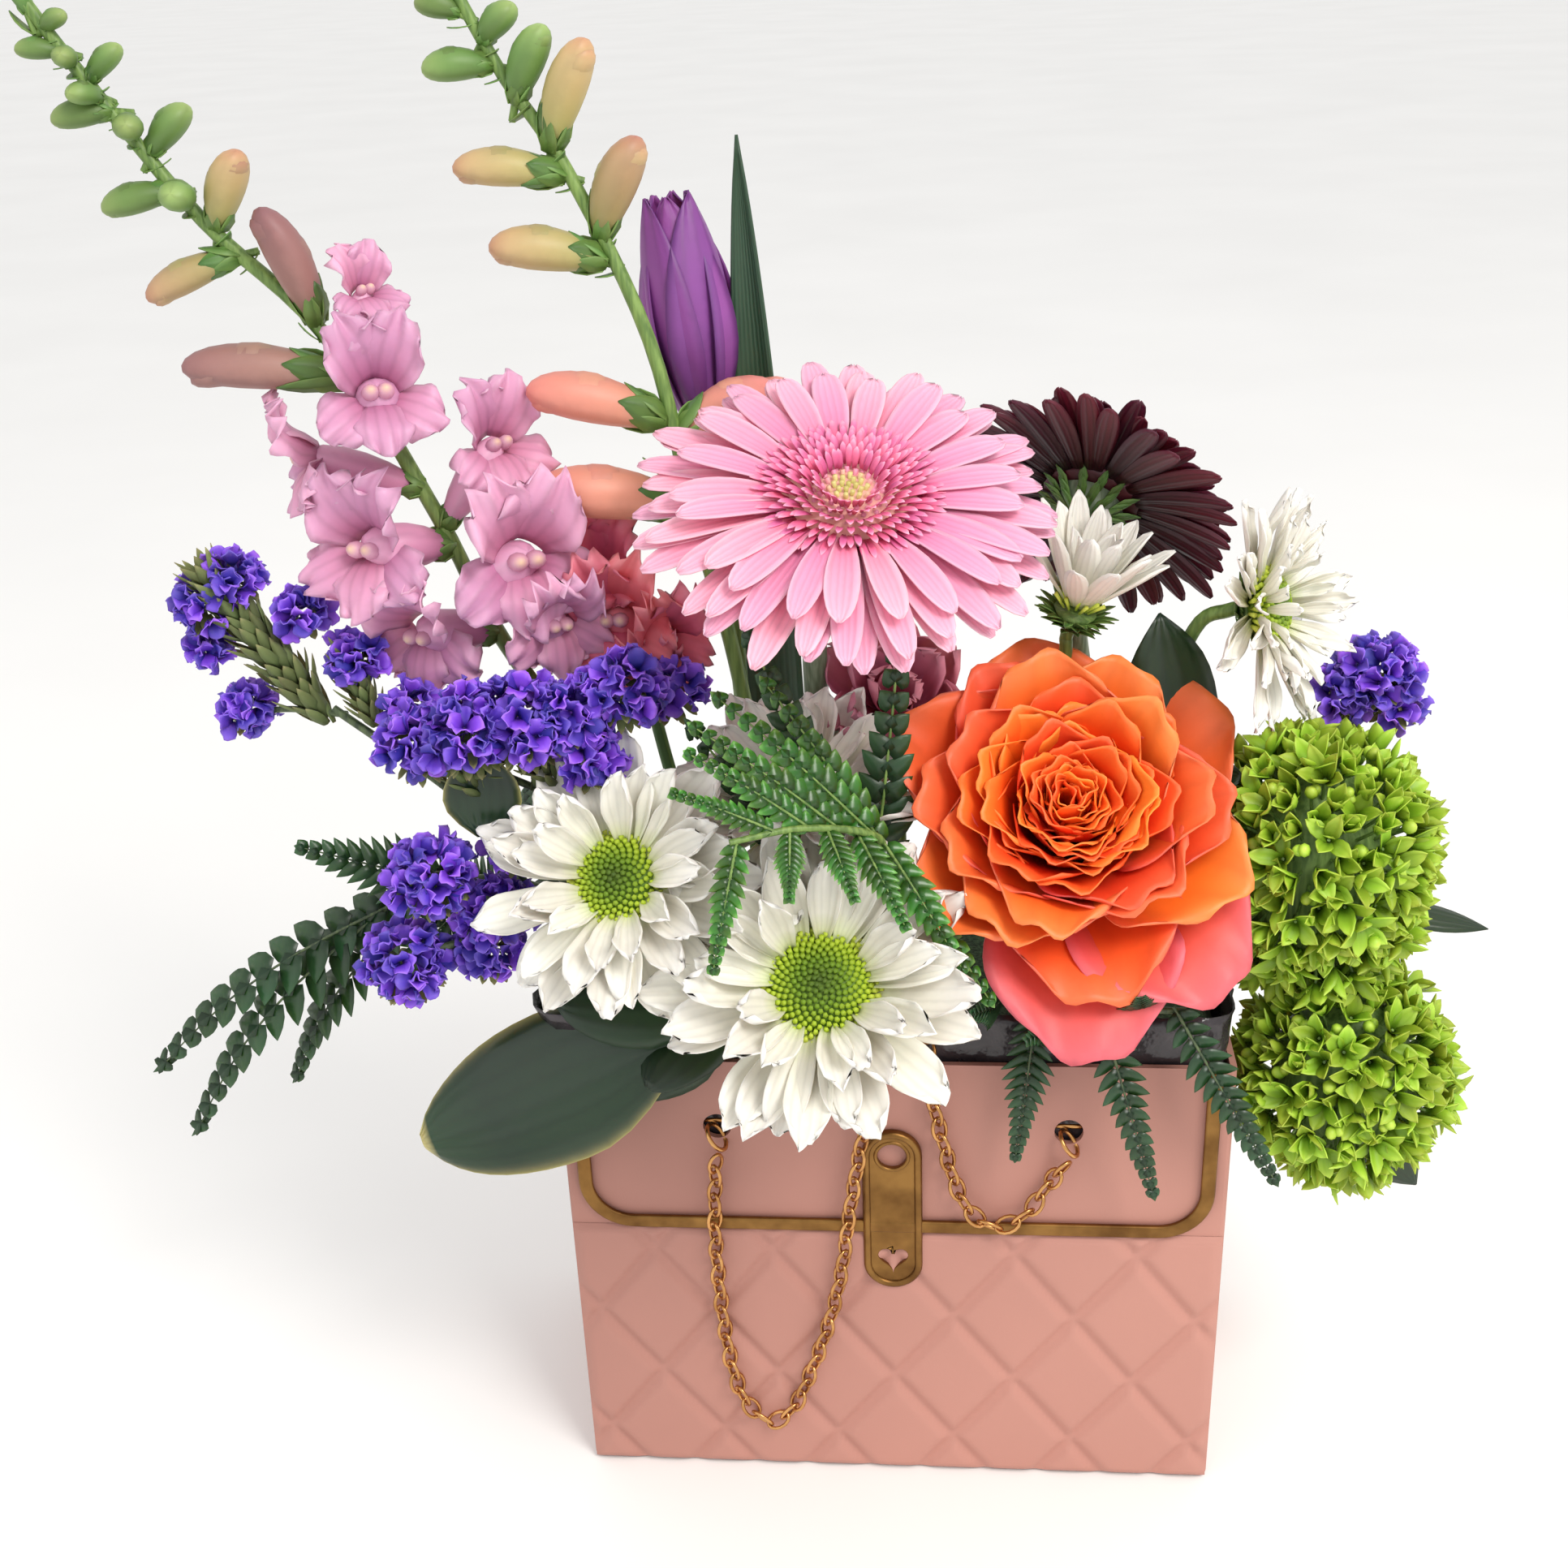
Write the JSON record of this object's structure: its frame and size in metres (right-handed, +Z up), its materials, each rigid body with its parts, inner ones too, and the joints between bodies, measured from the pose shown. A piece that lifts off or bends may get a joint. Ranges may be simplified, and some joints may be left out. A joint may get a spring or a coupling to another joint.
{
  "type": "flower box arrangement",
  "caption": "Cut flowers and foliage standing in wet foam inside a box shaped like a quilted handbag, with a gold bar, clasp plate and chain strap.",
  "frame": {"origin": "centre of the underside of the box", "axes": "+Z up, -Y towards the decorated front of the box, +X to the right when facing that front"},
  "size_m": [0.4335, 0.1677, 0.4837],
  "materials": {
    "paperboard": "matte",
    "gold_metal": "satin",
    "film": "gloss",
    "foam": "matte",
    "stem": "satin",
    "leaf": "satin",
    "fern": "satin",
    "pink_petal": "satin",
    "maroon_petal": "satin",
    "orange_petal": "satin",
    "white_petal": "satin",
    "green_disc": "matte",
    "lime_floret": "satin",
    "purple_petal": "satin",
    "mauve_petal": "satin",
    "statice": "matte"
  },
  "bodies": {
    "root": {"chain_link_left": "gold_metal", "chain_link_right": "gold_metal", "chain_stop_bar_left": "gold_metal", "chain_stop_bar_right": "gold_metal", "chain_strap": "gold_metal", "clasp_plate": "gold_metal", "fern_centre": "fern", "fern_front": "fern", "fern_left": "fern", "floral_foam": "foam", "flower_box": "paperboard", "gerbera_maroon_disc": "maroon_petal", "gerbera_maroon_petals": "maroon_petal", "gerbera_maroon_stem": "stem", "gerbera_pink_disc": "pink_petal", "gerbera_pink_petals": "pink_petal", "gerbera_pink_stem": "stem", "gold_frame_bar": "gold_metal", "hydrangea_lower_head": "lime_floret", "hydrangea_stem": "stem", "hydrangea_upper_head": "lime_floret", "mauve_bloom": "mauve_petal", "mauve_bloom_stem": "stem", "mum_front_disc": "green_disc", "mum_front_petals": "white_petal", "mum_front_stem": "stem", "mum_left_disc": "green_disc", "mum_left_petals": "white_petal", "mum_left_stem": "stem", "mum_middle_disc": "green_disc", "mum_middle_petals": "white_petal", "mum_middle_stem": "stem", "mum_right_disc": "green_disc", "mum_right_petals": "white_petal", "mum_right_stem": "stem", "mum_small_disc": "green_disc", "mum_small_petals": "white_petal", "mum_small_stem": "stem", "plastic_liner": "film", "rose_inner_petals": "orange_petal", "rose_outer_petals": "orange_petal", "rose_stem": "stem", "rounded_leaf": "leaf", "snapdragon_centre_spike": "stem", "snapdragon_coral_spike": "mauve_petal", "snapdragon_left_floret_low": "mauve_petal", "snapdragon_left_floret_middle": "mauve_petal", "snapdragon_left_floret_right": "mauve_petal", "snapdragon_left_floret_top": "mauve_petal", "snapdragon_left_spike": "stem", "statice_far_left_spray": "statice", "statice_front_florets": "statice", "statice_front_stem": "stem", "statice_low_left_spray": "statice", "statice_right_spray": "statice", "tulip_bloom": "purple_petal", "tulip_leaf": "leaf", "tulip_stem": "stem", "variegated_sprig": "leaf"}
  },
  "joints": []
}
